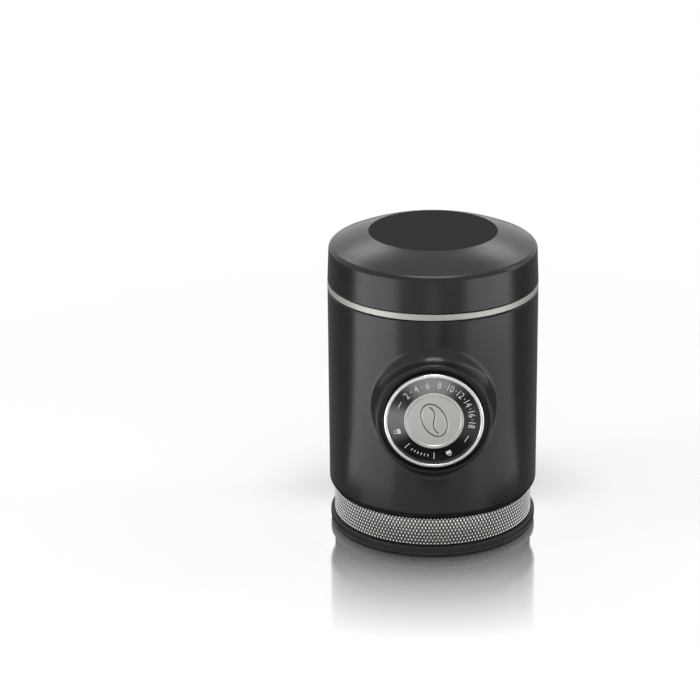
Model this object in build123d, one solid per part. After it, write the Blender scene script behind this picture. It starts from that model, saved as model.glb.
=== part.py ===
from build123d import *
import os
from math import atan, cos, radians, sin, tan

# Handheld manual espresso maker, in millimetres.
# Origin: the body's upright axis at the underside of the foot pad. +Z is up, the button faces -Y.
# It stands closed: lid screwed down, portafilter screwed in, foot cover on, button pushed in.

# ---- clearances
running = 0.08           # a round piece in the bore that it slides or turns in
fitted = 0.05            # between fitted pieces that don't move against each other
air = 0.3                # between pieces that move past each other
stack_gap = 0.2          # round the inner stack, so that it drops into the body

# ---- body, and the walls inside it from the outside inwards
body_r = 35.5
body_wall = 1.6
head_wall = 1.6          # skirt of the group head
thread_h = 0.8           # how far a thread ridge stands out
thread_w = 1.4
thread_lead = 12.0       # rise in one whole turn
thread_starts = 3
ridge_arc = 110.0        # degrees that one ridge runs round
lug_arc = 20.0           # degrees that one mating lug runs round
ridge_rise_start = 2.0   # from the foot of a threaded neck to the first ridge
portafilter_rim = 2.1    # wall outside the basket's flange
basket_ledge = 2.0       # width of the ledge under the basket's flange
basket_gap = 0.4
basket_wall = 0.6

# ---- foot cover and its pad
pad_proud = 0.4
pad_t = 0.9
pad_inset = 4.2          # pad's edge inside the cover's edge
cover_inset = 0.3        # cover's edge inside the body's
cover_floor_t = 1.6
cover_edge_h = 3.4
cover_round = 1.5
cover_step = 0.4
cover_step_w = 2.6       # from the cover's edge in to the raised seat
spigot_h = 4.0
spigot_wall = 2.0
oring_r = 0.55           # cord radius of the larger sealing rings

# ---- portafilter and basket
band_h = 9.5             # knurled grip band
band_inset = 2.1         # band's crests inside the body's side
band_edge = 0.4
band_gap = 0.3           # between the band and the body
recess_h = 4.8           # recess for the foot cover's spigot
recess_wall = 2.5
collar_h = 12.3          # threaded collar above the band
basket_depth = 19.8
basket_floor_t = 0.8
basket_rings = 6         # rings of holes in the basket's floor
basket_hole_r = 0.45

# ---- group head
shell_lip_t = 1.6        # inward lip at the body's foot
shell_foot_round = 2.6
gasket_t = 2.4
ceiling_t = 4.6
screen_boss_h = 1.4
spread_h = 0.9           # water space above the shower screen
spread_margin = 4.0
screen_t = 0.6
screen_inset = 0.9       # screen's edge inside the basket
screen_rings = 4
screen_hole_r = 0.6
screen_post_r = 4.0

# ---- button, its sleeve and the boss round it, front to back
button_r = 16.4
sleeve_wall = 1.5
boss_wall = 1.0
boss_taper = 5.0         # degrees that the boss widens towards the body
boss_proud = 5.1         # boss's lip in front of the body's side
boss_round = 0.6
boss_blend = 4.6
sleeve_set_back = 2.0    # sleeve's end behind the boss's lip
button_proud = 6.5       # bezel's front in front of the body's side
trim_h = 1.6             # bezel's front in front of the button cup
bezel_w = 1.2
dial_drop = 0.8          # dial ring's inner edge behind the bezel's front
dial_fall = 0.4          # its outer edge further back
cap_r = 9.8
cap_drop = 0.5           # cap's rim behind the bezel's front
cap_edge = 0.9           # raised edge round the cap
cap_dish = 0.35
cup_face_t = 3.0
cup_wall = 2.0
spring_space = 24.9      # cup's face to the sleeve's back wall
cup_end_play = 1.0
sleeve_back_t = 3.0
stroke = 20.0
spring_wire_r = 0.8
spring_gap = 1.4         # between the spring and the cup's wall
spring_turns = 7.5

# ---- pump
cylinder_r = 6.0
cylinder_wall = 1.5
barrel_wall = 3.5
rod_r = 5.0
spigot_r = 3.4
spigot_end = 0.9         # spigot's end in front of the clip's seat
clip_t = 0.6
clip_w = 2.2
clip_groove = 0.4
bush_wall = 1.3
bush_flange_w = 1.6
bush_flange_t = 1.0
head_len = 6.0
head_start = 0.5         # head clear of the sleeve at full stroke
piston_ring_r = 0.55
dead_space = 2.0
port_set_back = 1.0      # ports in front of the cylinder's end
port_r = 0.9
end_cap_t = 5.0
end_cap_lip = 1.5        # end cap is this much wider than the cylinder
hex_key_r = 3.0
hex_key_depth = 2.5

# ---- frame between the group head and the tank
sleeve_under = 1.3       # sleeve's underside above the group head
sleeve_over = 0.4        # sleeve's top below the tank
plate_t = 3.0
plate_inset = 0.7        # plates inside the group head's edge
frame_face_t = 4.0
column_r = 8.0
post_r = 3.0
post_inset = 1.1         # posts inside the plates' edge
post_angle = -5.0

# ---- valves
valve_r = 3.95
valve_wall = 1.15
valve_floor_t = 1.3      # frame between a valve and the pump's end cap
valve_top_t = 2.0
valve_bore_r = 1.2
ball_r = 2.0
ball_gap = 0.25          # from the ball to its seat's edge
valve_travel = 1.0
valve_spring_h = 2.5
valve_spring_r = 1.5
valve_wire_r = 0.17
valve_spring_turns = 4
face_ring_r = 0.5        # cord radius of the rings sealing the valve bores
face_ring_at = 5.8

# ---- tank, its retaining ring and the lid
tank_wall = 1.6
tank_floor_t = 1.9
flange_rise = 9.5        # tank's foot to its flange
flange_t = 2.4
ring_skirt_h = 2.3       # threaded part of the ring inside the body
ring_skirt_wall = 1.4
ring_h = 2.1             # part of the ring that shows
ring_gasket_t = 0.3
ring_edge = 0.2
neck_h = 9.1             # tank's rim above the ring
strainer_r = 5.0
strainer_t = 0.5
lid_gap = 0.3
lid_side_h = 12.04       # lid's foot to the corner of its shoulder
lid_slope_h = 4.9
lid_slope_swell = 0.5    # slope's middle above a straight line
lid_slope_round = 55.0
lid_draft = 0.5          # how much the lid narrows to its shoulder
lid_shoulder = 1.8
lid_disc_r = 21.5
lid_top_t = 1.2
liner_wall = 0.8
liner_top_t = 1.0
liner_lift = 0.35        # liner's foot above the lid's
seal_t = 1.5
seal_overhang = 0.4
seal_rib_w = 1.1
seal_rib_drop = 0.4

# ---- screws: shank radius, head radius, head height
small_screw = (1.0, 1.55, 1.3)
large_screw = (1.25, 2.2, 1.5)
screw_bite = 5.5
sleeve_screw_inset = 2.0  # sleeve's screws inside the button's side
group_screw_angles = (-10.0, 45.0, 135.0, 190.0)
tank_screw_angles = (15.0, 60.0, 120.0, 165.0)
tank_screw_inset = 6.6   # tank's screws inside its wall
tank_boss_r = 3.2
tank_boss_h = 4.5

# ---- radii that follow
body_in_r = body_r - body_wall
head_r = body_in_r - stack_gap
skirt_in_r = head_r - head_wall
collar_r = skirt_in_r - thread_h - air
flange_seat_r = collar_r - portafilter_rim
basket_flange_r = flange_seat_r - air
portafilter_bore_r = flange_seat_r - basket_ledge
basket_r = portafilter_bore_r - basket_gap
basket_in_r = basket_r - basket_wall
gasket_in_r = basket_in_r + air
gasket_r = basket_flange_r + stack_gap / 2
screen_boss_r = gasket_in_r - stack_gap / 2
screen_r = basket_in_r - screen_inset
band_r = body_r - band_inset
recess_r = band_r - recess_wall
cover_r = body_r - cover_inset
pad_r = cover_r - pad_inset
seat_r = cover_r - cover_step_w
cover_spigot_r = recess_r - air

sleeve_in_r = button_r + running
sleeve_r = sleeve_in_r + sleeve_wall
boss_bore_r = sleeve_r + fitted
boss_r = boss_bore_r + boss_wall
cup_in_r = button_r - cup_wall
spring_r = cup_in_r - spring_gap - spring_wire_r
cylinder_out_r = cylinder_r + cylinder_wall
barrel_bore_r = cylinder_out_r + fitted
barrel_r = barrel_bore_r + barrel_wall
end_cap_r = cylinder_out_r + end_cap_lip
clip_r = spigot_r + clip_w
piston_r = cylinder_r - running
rod_bore_r = rod_r + running
bush_r = rod_bore_r + bush_wall
plate_r = head_r - plate_inset
post_at = plate_r - post_inset - post_r
sleeve_screws_at = button_r - sleeve_screw_inset

ring_skirt_r = body_in_r - stack_gap / 2
ring_in_r = ring_skirt_r - ring_skirt_wall
tank_r = ring_in_r - stack_gap
tank_in_r = tank_r - tank_wall
tank_screws_at = tank_in_r - tank_screw_inset
liner_in_r = tank_r + thread_h + air
liner_r = liner_in_r + liner_wall
lid_in_r = liner_r + fitted
rib_r = tank_in_r - 2 * air
seal_in_r = rib_r + stack_gap
seal_r = tank_r + seal_overhang

# ---- valve lengths that follow
ball_drop = ((ball_r + ball_gap) ** 2 - valve_bore_r ** 2) ** 0.5
spring_drop = (ball_r ** 2 - (valve_spring_r - valve_wire_r) ** 2) ** 0.5 + valve_wire_r
valve_h = valve_top_t + ball_drop + spring_drop + valve_spring_h
valve_room = end_cap_r + valve_floor_t + valve_h

# ---- heights that follow, from the foot up
z_cover = pad_proud
z_floor = z_cover + cover_floor_t
z_edge = z_cover + cover_edge_h
z_seat = z_edge + cover_step
z_spigot = z_seat + spigot_h
z_recess = z_seat + recess_h
z_band = z_seat + band_h
z_body = z_band + band_gap
z_lip = z_body + shell_lip_t
z_collar = z_band + collar_h
z_flange = z_collar - basket_floor_t
z_basket = z_collar - basket_depth
z_ceiling = z_collar + gasket_t
z_screen_boss = z_ceiling - screen_boss_h
z_head = z_ceiling + ceiling_t
z_button = z_head + max(sleeve_under + sleeve_r, valve_room)
z_tank = z_button + max(sleeve_r + sleeve_over, valve_room)
z_inlet_floor = z_tank - valve_h
z_outlet_top = z_head + valve_h
z_tank_floor = z_tank + tank_floor_t
z_tank_flange = z_tank + flange_rise
z_ring_skirt = z_tank_flange + flange_t
z_ring = z_ring_skirt + ring_skirt_h
z_body_top = z_ring - ring_gasket_t
z_ring_top = z_ring + ring_h
z_lid = z_ring_top + lid_gap
z_rim = z_ring_top + neck_h
z_liner = z_rim + seal_t
z_shoulder = z_lid + lid_side_h
z_top = z_shoulder + lid_slope_h

# ---- depths that follow, from the button's front (-Y) back
y_front = -(body_r + button_proud)
y_boss = -(body_r + boss_proud)
y_cap = y_front + cap_drop
y_cup = y_front + trim_h
y_seat = y_cup + air + spigot_end
y_cup_back = y_cup + cup_face_t
y_sleeve = y_boss + sleeve_set_back
y_wall = y_cup_back + spring_space
y_cup_end = y_wall - cup_end_play
y_frame = y_wall + sleeve_back_t
y_head = y_frame + head_start + stroke
y_tip = y_head + head_len
y_end = y_tip + dead_space
y_port = y_end - port_set_back
y_end_cap = y_end + end_cap_t


# ---- shapes
def turned(points, rounds=None):
    """Turn an outline of (radius, height) corners about the upright axis."""
    outline = FilletPolyline(*points, radius=rounds, close=True) if rounds else Polyline(*points, close=True)
    return revolve(Plane.XZ * make_face(outline), Axis.Z)


def turned_on_button(points, rounds=None):
    """Turn an outline of (radius, y) corners about the button's axis."""
    outline = FilletPolyline(*points, radius=rounds, close=True) if rounds else Polyline(*points, close=True)
    button_plane = Plane(origin=(0, 0, z_button), x_dir=(1, 0, 0), z_dir=(0, 0, 1))
    return revolve(button_plane * make_face(outline), Axis((0, 0, z_button), (0, 1, 0)))


def tube(r, r_in, z0, z1):
    """Upright tube, or a disc where r_in is 0."""
    return turned([(r_in, z0), (r, z0), (r, z1), (r_in, z1)])


def button_tube(r, r_in, y0, y1):
    """Tube or disc on the button's axis."""
    return turned_on_button([(r_in, y0), (r, y0), (r, y1), (r_in, y1)])


def drill(x, y, r, z0, z1):
    """Upright round bar, also used as a drill."""
    return Pos(x, y, z0) * Cylinder(r, z1 - z0, align=(Align.CENTER, Align.CENTER, Align.MIN))


def button_drill(x, z, r, y0, y1):
    """Round bar along Y, at x and z from the button's axis, also used as a drill."""
    bar = Cylinder(r, y1 - y0, align=(Align.CENTER, Align.CENTER, Align.MIN))
    return Pos(x, y0, z_button + z) * Rot(-90, 0, 0) * bar


def polar(r, angle):
    return r * cos(radians(angle)), r * sin(radians(angle))


def ring_of_cord(r, cord_r, z):
    return Pos(0, 0, z) * Torus(r, cord_r)


def button_ring_of_cord(r, cord_r, y):
    return Pos(0, y, z_button) * Rot(90, 0, 0) * Torus(r, cord_r)


def thread(r, height, z, arc, angle):
    """One helical ridge centred on z at its middle, outwards for a height above 0, else inwards."""
    root = -fitted if height > 0 else fitted
    half = thread_w / 2
    crest = half / 2
    profile = [(r + root, 0, -half), (r + height, 0, -crest), (r + height, 0, crest), (r + root, 0, half)]
    face = make_face(Polyline(*profile, close=True)).face()
    rise = thread_lead * arc / 360
    path = Edge.make_helix(thread_lead, rise, r, (0, 0, 0), (0, 0, 1))
    return Pos(0, 0, z - rise / 2) * Rot(0, 0, angle - arc / 2) * Solid.sweep(face, path, is_frenet=True)


def threads(r, height, z, arc):
    return [thread(r, height, z, arc, i * 360 / thread_starts) for i in range(thread_starts)]


def coil(r, wire_r, turns, length):
    """Compression spring standing on z = 0 along +Z, with its wire inside the length."""
    rise = length - 2 * wire_r
    path = Helix(pitch=rise / turns, height=rise, radius=r)
    section = Plane(origin=path @ 0, z_dir=path % 0) * Circle(wire_r)
    return Pos(0, 0, wire_r) * sweep(section, path=path)


def holes_in_rings(rings, spacing, r, z0, z1):
    """A middle hole and rings of 6, 12, 18 ... holes."""
    drills = [drill(0, 0, r, z0, z1)]
    for ring in range(1, rings + 1):
        count = 6 * ring
        drills += [drill(*polar(ring * spacing, i * 360 / count), r, z0, z1) for i in range(count)]
    return drills


def screw(size, length):
    """Screw standing head down, its head's seat at z = 0 and its shank up +Z."""
    shank_r, head_radius, head_h = size
    slot = Pos(0, 0, -head_h) * Box(2 * head_radius, shank_r / 2, head_h, align=(Align.CENTER,) * 3)
    return drill(0, 0, shank_r, 0, length) + drill(0, 0, head_radius, -head_h, 0) - slot


# ---- foot cover
def base_pad():
    return tube(pad_r, 0, 0, pad_t)


def base_cover():
    cover = turned(
        [(0, z_cover), (cover_r, z_cover), (cover_r, z_edge), (seat_r, z_edge), (seat_r, z_seat),
         (cover_spigot_r, z_seat), (cover_spigot_r, z_spigot), (cover_spigot_r - spigot_wall, z_spigot),
         (cover_spigot_r - spigot_wall, z_floor), (0, z_floor)],
        [0, cover_round, cover_step, 0, 0, 0, band_edge, band_edge, 0, 0])
    groove = ring_of_cord(cover_spigot_r - oring_r / 2, oring_r + fitted, (z_seat + z_spigot) / 2)
    return cover - tube(pad_r + fitted, 0, 0, pad_t) - groove


def base_oring():
    return ring_of_cord(cover_spigot_r - oring_r / 2, oring_r, (z_seat + z_spigot) / 2) \
        - tube(recess_r + oring_r, recess_r - running, z_seat, z_spigot)


# ---- portafilter
def thread_middle(z_foot):
    return z_foot + ridge_rise_start + thread_w / 2 + thread_lead * ridge_arc / 720


def lug_middle(z_foot):
    """Lugs ride just under the ridges at the ridges' middle."""
    return thread_middle(z_foot) - thread_w - air


def portafilter():
    body = turned(
        [(recess_r, z_seat), (band_r, z_seat), (band_r, z_band), (collar_r, z_band), (collar_r, z_collar),
         (flange_seat_r, z_collar), (flange_seat_r, z_flange), (portafilter_bore_r, z_flange),
         (portafilter_bore_r, z_recess), (recess_r, z_recess)],
        [0, band_edge, band_edge, 0, band_edge, 0, 0, 0, band_edge, 0])
    return body + threads(collar_r, thread_h, thread_middle(z_band), ridge_arc)


def basket():
    body = turned(
        [(0, z_basket), (basket_r, z_basket), (basket_r, z_flange), (basket_flange_r, z_flange),
         (basket_flange_r, z_collar), (basket_in_r, z_collar), (basket_in_r, z_basket + basket_floor_t),
         (0, z_basket + basket_floor_t)],
        [0, 2 * basket_floor_t, 0, 0, 0, 0, basket_floor_t, 0])
    spacing = (basket_in_r - 2 * basket_floor_t) / (basket_rings + 0.5)
    return body - holes_in_rings(basket_rings, spacing, basket_hole_r, z_basket, z_basket + basket_floor_t)


# ---- group head
def group_gasket():
    return tube(gasket_r, gasket_in_r, z_collar, z_ceiling)


def group_screws_at():
    return [polar((skirt_in_r + gasket_r) / 2, angle) for angle in group_screw_angles]


def group_head():
    spread_r = screen_boss_r - spread_margin
    head = turned(
        [(0, z_screen_boss), (screen_post_r, z_screen_boss), (screen_post_r, z_screen_boss + spread_h),
         (spread_r, z_screen_boss + spread_h), (spread_r, z_screen_boss), (screen_boss_r, z_screen_boss),
         (screen_boss_r, z_ceiling), (skirt_in_r, z_ceiling), (skirt_in_r, z_lip), (head_r, z_lip),
         (head_r, z_head), (0, z_head)])
    head += threads(skirt_in_r, -thread_h, lug_middle(z_band), lug_arc)
    head -= drill(0, y_port, valve_bore_r, z_screen_boss, z_head)
    shank_r = small_screw[0]
    head -= drill(0, 0, shank_r + fitted, z_screen_boss, z_head - valve_bore_r)
    for x, y in group_screws_at():
        head -= drill(x, y, shank_r + fitted, z_ceiling, z_head)
        head -= drill(x, y, small_screw[1] + fitted, z_ceiling, z_ceiling + small_screw[2])
    return head


def shower_screen():
    spacing = (screen_r - spread_margin) / screen_rings
    screen = tube(screen_r, 0, z_screen_boss - screen_t, z_screen_boss)
    holes = holes_in_rings(screen_rings, spacing, screen_hole_r, z_screen_boss - screen_t, z_screen_boss)
    middle = drill(0, 0, small_screw[0] + fitted, z_screen_boss - screen_t, z_screen_boss)
    return screen - holes[1:] - middle


def screen_screw():
    """Low head, so that it clears the coffee in the basket."""
    shank_r, head_radius, head_h = small_screw
    z_seat_of_head = z_screen_boss - screen_t
    return Pos(0, 0, z_seat_of_head) * screw((shank_r, head_radius, head_h / 2), ceiling_t)


def group_screws():
    return [Pos(x, y, z_ceiling + small_screw[2]) * screw(small_screw, screw_bite) for x, y in group_screws_at()]


# ---- body
def body_shell():
    foot_in_r = skirt_in_r + fitted
    block = turned(
        [(0, z_body), (body_r, z_body), (body_r, z_body_top), (0, z_body_top)],
        [0, shell_foot_round, band_edge, 0])
    root_r = boss_r - y_boss * tan(radians(boss_taper))
    block += turned_on_button([(0, y_boss), (boss_r, y_boss), (root_r, 0), (0, 0)])
    joint_edges = block.edges().filter_by(GeomType.BSPLINE)
    block = fillet(joint_edges, boss_blend)
    lip = [edge for edge in block.edges().filter_by(GeomType.CIRCLE) if abs(edge.center().Y - y_boss) < fitted]
    block = fillet(lip, boss_round)
    hollow = tube(foot_in_r, 0, z_body, z_lip) + tube(body_in_r, 0, z_lip, z_body_top)
    return block - hollow - button_tube(boss_bore_r, 0, y_boss, 0)


def sleeve_screw_places():
    return [polar(sleeve_screws_at, 90 + i * 120) for i in range(3)]


def guide_sleeve():
    sleeve = button_tube(sleeve_r, sleeve_in_r, y_sleeve, y_wall) + button_tube(sleeve_r, bush_r + fitted, y_wall, y_frame)
    shank_r, head_radius, head_h = small_screw
    for x, z in sleeve_screw_places():
        sleeve -= button_drill(x, z, shank_r + fitted, y_wall, y_frame)
        sleeve -= button_drill(x, z, head_radius + fitted, y_wall, y_wall + head_h)
    return sleeve


def sleeve_screws():
    head_h = small_screw[2]
    return [Pos(x, y_wall + head_h, z_button + z) * Rot(-90, 0, 0) * screw(small_screw, screw_bite)
            for x, z in sleeve_screw_places()]


def rod_bush():
    flange_r = bush_r + bush_flange_w
    return turned_on_button([
        (rod_bore_r, y_wall - bush_flange_t), (flange_r, y_wall - bush_flange_t), (flange_r, y_wall),
        (bush_r, y_wall), (bush_r, y_frame), (rod_bore_r, y_frame)])


def return_spring():
    length = y_wall - y_cup_back
    return Pos(0, y_cup_back, z_button) * Rot(-90, 0, 0) * coil(spring_r, spring_wire_r, spring_turns, length)


# ---- pump
def pump_cylinder():
    cylinder = button_tube(cylinder_out_r, cylinder_r, y_frame, y_end)
    return cylinder - drill(0, y_port, port_r, z_button - barrel_r, z_button + barrel_r)


def end_cap_ring_at():
    return end_cap_r - oring_r


def cylinder_end_cap():
    cap = button_tube(end_cap_r, 0, y_end, y_end_cap)
    groove = button_tube(end_cap_r, end_cap_ring_at() - oring_r, y_end + oring_r, y_end + 3 * oring_r + 2 * fitted)
    hexagon = Plane(origin=(0, y_end_cap, z_button), z_dir=(0, -1, 0)) * RegularPolygon(hex_key_r, 6)
    return cap - groove - extrude(hexagon, hex_key_depth)


def end_cap_oring():
    return button_ring_of_cord(end_cap_ring_at(), oring_r, y_end + 2 * oring_r + fitted)


def tank_screw_places():
    return [polar(tank_screws_at, angle) for angle in tank_screw_angles]


def face_groove(z):
    """Groove for a sealing ring on a face of the frame's column, open at the height z."""
    groove = tube(face_ring_at + face_ring_r, face_ring_at - face_ring_r, z - 2 * face_ring_r, z + 2 * face_ring_r)
    return Pos(0, y_port, 0) * groove


def pump_frame():
    barrel = button_tube(barrel_r, 0, y_frame, y_end_cap)
    face = button_tube(sleeve_r - fitted, 0, y_frame, y_frame + frame_face_t)
    column = drill(0, y_port, column_r, z_head, z_tank)
    plates = tube(plate_r, 0, z_head, z_head + plate_t) + tube(plate_r, 0, z_tank - plate_t, z_tank)
    back = Pos(0, y_frame, z_head) * Box(
        2 * body_r, 2 * body_r, z_tank - z_head, align=(Align.CENTER, Align.MIN, Align.MIN))
    posts = [drill(side * polar(post_at, post_angle)[0], polar(post_at, post_angle)[1], post_r, z_head, z_tank)
             for side in (-1, 1)]
    frame = barrel + face + column + (plates & back) + posts
    frame -= button_tube(barrel_bore_r, 0, y_frame, y_end)
    frame -= button_tube(end_cap_r + fitted, 0, y_end, y_end_cap)
    for z0, z1 in ((z_inlet_floor, z_tank), (z_head, z_outlet_top)):
        frame -= drill(0, y_port, valve_r + fitted, z0, z1)
    frame -= drill(0, y_port, port_r, z_head, z_tank)
    frame -= face_groove(z_tank)
    frame -= face_groove(z_head)
    for x, z in sleeve_screw_places():
        frame -= button_drill(x, z, small_screw[0] + fitted, y_frame, y_frame + frame_face_t)
    for x, y in group_screws_at():
        frame -= drill(x, y, small_screw[0] + fitted, z_head, z_head + plate_t)
    for x, y in tank_screw_places():
        frame -= drill(x, y, large_screw[0] + fitted, z_tank - plate_t, z_tank)
    return frame


def face_ring(z):
    return Pos(0, y_port, 0) * ring_of_cord(face_ring_at, face_ring_r, z)


def inlet_oring():
    return face_ring(z_tank - face_ring_r)


def outlet_oring():
    return face_ring(z_head + face_ring_r)


# ---- valves: a seat with a skirt, a ball below it and a spring that lifts the ball
def valve_seat(z_foot):
    skirt_r = valve_r - valve_wall
    z_under = z_foot + valve_h - valve_top_t
    seat = turned([
        (valve_bore_r, z_foot + valve_h), (valve_r, z_foot + valve_h), (valve_r, z_foot), (skirt_r, z_foot),
        (skirt_r, z_under), (valve_bore_r, z_under)])
    return Pos(0, y_port, 0) * seat


def valve_ball(z_foot):
    z_centre = z_foot + valve_h - valve_top_t - ball_drop
    return Pos(0, y_port, z_centre) * Sphere(ball_r)


def valve_spring(z_foot):
    spring = coil(valve_spring_r, valve_wire_r, valve_spring_turns, valve_spring_h)
    return Pos(0, y_port, z_foot) * spring


# ---- tank
def tank():
    body = turned(
        [(0, z_tank), (tank_r, z_tank), (tank_r, z_tank_flange), (head_r, z_tank_flange),
         (head_r, z_ring_skirt), (tank_r, z_ring_skirt), (tank_r, z_rim), (tank_in_r, z_rim),
         (tank_in_r, z_tank_floor), (0, z_tank_floor)],
        [0, tank_wall, 0, 0, 0, 0, band_edge, band_edge, tank_wall, 0])
    body += threads(tank_r, thread_h, thread_middle(z_ring_top), ridge_arc)
    bosses = [drill(x, y, tank_boss_r, z_tank, z_tank_floor + tank_boss_h) for x, y in tank_screw_places()]
    body += bosses
    for x, y in tank_screw_places():
        body -= drill(x, y, large_screw[0] + fitted, z_tank, z_tank_floor + tank_boss_h - large_screw[0])
    body -= drill(0, y_port, valve_bore_r, z_tank, z_tank_floor)
    return body - drill(0, y_port, strainer_r + fitted, z_tank_floor - strainer_t, z_tank_floor)


def tank_screws():
    length = plate_t + tank_floor_t + tank_boss_h - 2 * large_screw[0]
    return [Pos(x, y, z_tank - plate_t) * screw(large_screw, length) for x, y in tank_screw_places()]


def strainer():
    disc = drill(0, 0, strainer_r, z_tank_floor - strainer_t, z_tank_floor)
    holes = holes_in_rings(2, strainer_r / 3, strainer_t / 2, z_tank_floor - strainer_t, z_tank_floor)
    return Pos(0, y_port, 0) * (disc - holes)


def ring_gasket():
    return tube(body_r - 2 * air, ring_skirt_r + fitted, z_body_top, z_ring)


def tank_ring():
    return turned(
        [(ring_in_r, z_ring_skirt), (ring_skirt_r, z_ring_skirt), (ring_skirt_r, z_ring), (body_r, z_ring),
         (body_r, z_ring_top), (ring_in_r, z_ring_top)],
        [0, 0, 0, ring_edge, ring_edge, 0])


# ---- lid
def lid_shell():
    shoulder_r = body_r - lid_draft
    slope_middle = ((lid_disc_r + shoulder_r) / 2, (z_top + z_shoulder) / 2 + lid_slope_swell)
    slope = atan(lid_slope_h / (shoulder_r - lid_disc_r))
    inside_drop = lid_top_t / cos(slope)
    z_inside_corner = z_top - inside_drop - (lid_in_r - lid_disc_r) * tan(slope)
    return turned(
        [(0, z_top), (lid_disc_r, z_top), slope_middle, (shoulder_r, z_shoulder), (body_r, z_lid),
         (lid_in_r, z_lid), (lid_in_r, z_inside_corner), (lid_disc_r, z_top - inside_drop), (0, z_top - inside_drop)],
        [0, ring_edge, lid_slope_round, lid_shoulder, ring_edge, 0, 0, 0, 0])


def lid_liner():
    body = turned([
        (0, z_liner), (rib_r - seal_rib_w, z_liner), (rib_r - seal_rib_w, z_rim - seal_rib_drop),
        (rib_r, z_rim - seal_rib_drop), (rib_r, z_liner), (liner_in_r, z_liner),
        (liner_in_r, z_lid + liner_lift), (liner_r, z_lid + liner_lift), (liner_r, z_liner),
        (liner_r - liner_top_t, z_liner + liner_top_t), (0, z_liner + liner_top_t)])
    return body + threads(liner_in_r, -thread_h, lug_middle(z_ring_top), lug_arc)


def lid_seal():
    return tube(seal_r, seal_in_r, z_rim, z_liner)


# ---- button and plunger
def button_cup():
    return turned_on_button(
        [(spigot_r + running, y_seat), (clip_r + air, y_seat), (clip_r + air, y_cup), (button_r, y_cup),
         (button_r, y_cup_end), (cup_in_r, y_cup_end), (cup_in_r, y_cup_back), (spigot_r + running, y_cup_back)])


def button_bezel():
    return turned_on_button(
        [(button_r - bezel_w, y_cup), (button_r - bezel_w, y_front), (button_r, y_front), (button_r, y_cup)],
        [0, bezel_w / 3, bezel_w / 2, 0])


def dial_ring():
    r_out = button_r - bezel_w - fitted
    r_in = cap_r + fitted
    y_ring = y_front + dial_drop
    return turned_on_button([
        (r_in, y_cup), (r_in, y_ring), (r_out, y_ring + dial_fall), (r_out, y_cup)])


def button_cap():
    return turned_on_button(
        [(0, y_cap + cap_dish), (cap_r - cap_edge - cap_dish, y_cap + cap_dish), (cap_r - cap_edge, y_cap),
         (cap_r, y_cap), (cap_r, y_cup), (0, y_cup)],
        [0, 0, ring_edge, ring_edge, 0, 0])


def plunger():
    y_spigot = y_seat - spigot_end
    y_groove = y_seat - fitted - clip_t
    body = turned_on_button([
        (0, y_spigot), (spigot_r, y_spigot), (spigot_r, y_groove), (spigot_r - clip_groove, y_groove),
        (spigot_r - clip_groove, y_seat - fitted), (spigot_r, y_seat - fitted), (spigot_r, y_cup_back),
        (rod_r, y_cup_back), (rod_r, y_head), (piston_r, y_head), (piston_r, y_tip), (0, y_tip)])
    for y in piston_rings_at():
        body -= button_tube(cylinder_r, piston_r - 2 * piston_ring_r, y - piston_ring_r, y + piston_ring_r)
    return body


def piston_rings_at():
    return [y_head + head_len * share for share in (0.3, 0.7)]


def plunger_orings():
    return [button_ring_of_cord(piston_r - piston_ring_r, piston_ring_r, y) for y in piston_rings_at()]


def plunger_clip():
    y_clip = y_seat - fitted - clip_t
    r_in = spigot_r - clip_groove + fitted
    clip = button_tube(clip_r, r_in, y_clip + fitted, y_seat - fitted)
    mouth = Pos(0, y_clip, z_button) * Box(
        1.2 * r_in, 4 * clip_t, clip_r, align=(Align.CENTER, Align.CENTER, Align.MAX))
    return clip - mouth


nodes = {
    "base_pad": base_pad(),
    "base_cover": base_cover(),
    "base_oring": base_oring(),
    "portafilter": portafilter(),
    "basket": basket(),
    "group_gasket": group_gasket(),
    "shower_screen": shower_screen(),
    "screen_screw": screen_screw(),
    "group_head": group_head(),
    "group_screws": group_screws(),
    "body_shell": body_shell(),
    "guide_sleeve": guide_sleeve(),
    "sleeve_screws": sleeve_screws(),
    "rod_bush": rod_bush(),
    "return_spring": return_spring(),
    "pump_cylinder": pump_cylinder(),
    "cylinder_end_cap": cylinder_end_cap(),
    "end_cap_oring": end_cap_oring(),
    "pump_frame": pump_frame(),
    "inlet_oring": inlet_oring(),
    "inlet_valve_seat": valve_seat(z_inlet_floor),
    "inlet_ball": valve_ball(z_inlet_floor),
    "inlet_spring": valve_spring(z_inlet_floor),
    "outlet_oring": outlet_oring(),
    "outlet_valve_seat": valve_seat(z_head),
    "outlet_ball": valve_ball(z_head),
    "outlet_spring": valve_spring(z_head),
    "tank": tank(),
    "tank_screws": tank_screws(),
    "strainer": strainer(),
    "ring_gasket": ring_gasket(),
    "tank_ring": tank_ring(),
    "lid_shell": lid_shell(),
    "lid_liner": lid_liner(),
    "lid_seal": lid_seal(),
    "plunger": plunger(),
    "plunger_orings": plunger_orings(),
    "plunger_clip": plunger_clip(),
    "button_cup": button_cup(),
    "button_bezel": button_bezel(),
    "dial_ring": dial_ring(),
    "button_cap": button_cap(),
}

os.makedirs("parts", exist_ok=True)
for name, shape in nodes.items():
    pieces = shape if isinstance(shape, list) else shape.solids()
    export_step(Compound(children=[piece.solid() for piece in pieces]), f"parts/{name}.step")
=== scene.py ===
from math import cos, pi, radians, sin

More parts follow.
